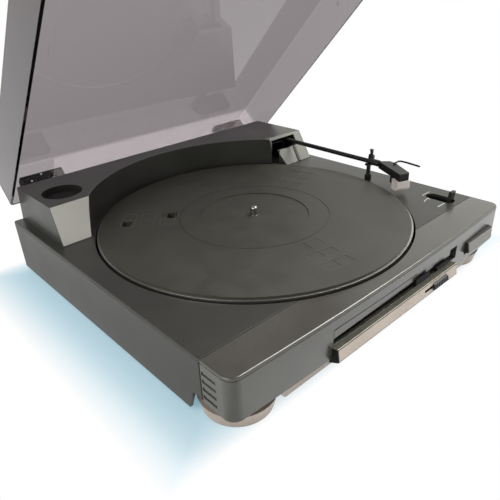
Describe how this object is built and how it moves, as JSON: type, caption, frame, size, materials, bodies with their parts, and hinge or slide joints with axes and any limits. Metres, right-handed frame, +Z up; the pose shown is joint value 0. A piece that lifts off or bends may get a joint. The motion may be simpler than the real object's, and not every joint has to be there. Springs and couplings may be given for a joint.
{
  "type": "turntable",
  "caption": "Automatic turntable with a smoked dust cover, belt-driven platter, angled tone arm and controls along the front.",
  "frame": {"origin": "middle of the bounding box's underside, on the floor", "axes": "+X to the right seen from the front, -Y to the front, +Z up"},
  "size_m": [0.36, 0.383, 0.3437],
  "materials": {
    "deck": "satin",
    "front_grey": "satin",
    "beige": "satin",
    "black_plastic": "matt",
    "pale_plastic": "satin",
    "white_plastic": "satin",
    "smoked": "gloss",
    "clear": "gloss",
    "rubber": "matt",
    "chrome": "polished",
    "steel": "brushed",
    "platter": "satin",
    "painted_black": "satin",
    "brass": "satin",
    "bronze": "matt",
    "board": "matt"
  },
  "bodies": {
    "case": {"cabinet": "deck", "bottom_tray": "beige", "front_panel": "front_grey", "rear_bridge": "deck", "recess_strip": "front_grey", "control_bar": "black_plastic", "bar_trim": "beige", "button_guide": "black_plastic", "start_spring": "steel", "spindle_bearing": "bronze", "thrust_pad": "white_plastic", "drive_belt": "rubber", "motor": "steel", "motor_plate": "steel", "motor_grommets": "rubber", "motor_screws": "steel", "cam_gear_post": "steel", "cam_gear_clip": "steel", "arm_base": "black_plastic", "arm_rest": "black_plastic", "cue_guide": "black_plastic", "hinge_brackets": "black_plastic", "front_feet": "beige", "rear_feet": "black_plastic", "foot_pads": "rubber", "foot_screws": "steel", "case_screws": "steel", "transformer": "steel", "circuit_board": "board", "cable_glands": "black_plastic"},
    "lid": {"dust_cover": "smoked", "hinge_blocks": "black_plastic", "hinge_pins": "steel"},
    "platter_body": {"platter": "platter", "platter_mat": "rubber", "spindle": "chrome", "hub_pinion": "white_plastic"},
    "pulley_body": {"motor_pulley": "brass"},
    "cam_body": {"cam_gear": "white_plastic"},
    "arm_swing_body": {"arm_yoke": "steel", "arm_pivot_pins": "steel", "arm_drive_plate": "steel"},
    "arm_lift_body": {"arm_pivot_block": "painted_black", "arm_tube": "painted_black", "counterweight": "painted_black", "headshell": "black_plastic", "headshell_plate": "front_grey", "cartridge": "black_plastic", "stylus": "white_plastic", "finger_lift": "painted_black"},
    "guard_body": {"stylus_guard": "clear"},
    "lifter_body": {"arm_lifter": "black_plastic"},
    "cue_body": {"cue_lever": "black_plastic", "cue_slide": "white_plastic"},
    "clip_body": {"arm_clip": "black_plastic"},
    "button_body": {"start_button": "black_plastic", "start_button_face": "pale_plastic"},
    "speed_body": {"speed_key": "black_plastic"},
    "size_body": {"size_key": "black_plastic"},
    "knob_body": {"slide_knob": "black_plastic"}
  },
  "joints": [
    {"name": "lid_hinge", "type": "hinge", "parent": "case", "child": "lid", "pos_m": [0, 0.17887, 0.063], "axis": [1, 0, 0], "range_deg": [-14, 46]},
    {"name": "platter_spin", "type": "hinge", "parent": "case", "child": "platter_body", "pos_m": [-0.0078, -0.01923, 0.057], "axis": [0, 0, 1], "continuous": true},
    {"name": "pulley_spin", "type": "hinge", "parent": "case", "child": "pulley_body", "pos_m": [-0.09972, 0.0579, 0.0395], "axis": [0, 0, 1], "continuous": true},
    {"name": "cam_gear_turn", "type": "hinge", "parent": "case", "child": "cam_body", "pos_m": [0.02937, 0.00053, 0.0385], "axis": [0, 0, 1], "continuous": true},
    {"name": "arm_swing", "type": "hinge", "parent": "case", "child": "arm_swing_body", "pos_m": [0.142, 0.11787, 0.0845], "axis": [0, 0, -1], "range_deg": [0, 31]},
    {"name": "arm_lift", "type": "hinge", "parent": "arm_swing_body", "child": "arm_lift_body", "pos_m": [0.142, 0.11787, 0.0845], "axis": [-0.9982, -0.0597, 0], "range_deg": [0, 1.6]},
    {"name": "guard_slide", "type": "slide", "parent": "arm_lift_body", "child": "guard_body", "axis": [-0.4848, -0.8746, 0], "range_m": [0, 0.016]},
    {"name": "lifter_rise", "type": "slide", "parent": "case", "child": "lifter_body", "axis": [0, 0, 1], "range_m": [0, 0.0008]},
    {"name": "cue_lever_slide", "type": "slide", "parent": "case", "child": "cue_body", "axis": [0, 1, 0], "range_m": [0, 0.021]},
    {"name": "clip_fold", "type": "hinge", "parent": "case", "child": "clip_body", "pos_m": [0.15639, -0.04075, 0.08365], "axis": [-0.0597, 0.9982, 0], "range_deg": [-90, 0]},
    {"name": "start_button_push", "type": "slide", "parent": "case", "child": "button_body", "axis": [0, 1, 0], "range_m": [0, 0.003], "stiffness_N_per_m": 200, "deforming": ["start_spring"]},
    {"name": "speed_key_slide", "type": "slide", "parent": "case", "child": "speed_body", "axis": [-1, 0, 0], "range_m": [0, 0.014]},
    {"name": "size_key_slide", "type": "slide", "parent": "case", "child": "size_body", "axis": [-1, 0, 0], "range_m": [0, 0.008]},
    {"name": "slide_knob_slide", "type": "slide", "parent": "case", "child": "knob_body", "axis": [-1, 0, 0], "range_m": [0, 0.02]}
  ],
  "couplings": [
    {"joint": "pulley_spin", "follows": "platter_spin", "ratio": 15},
    {"joint": "cam_gear_turn", "follows": "platter_spin", "ratio": -0.2},
    {"joint": "arm_lift", "follows": "cue_lever_slide", "rad_per_m": 1.3298},
    {"joint": "lifter_rise", "follows": "cue_lever_slide", "ratio": 0.038095}
  ]
}
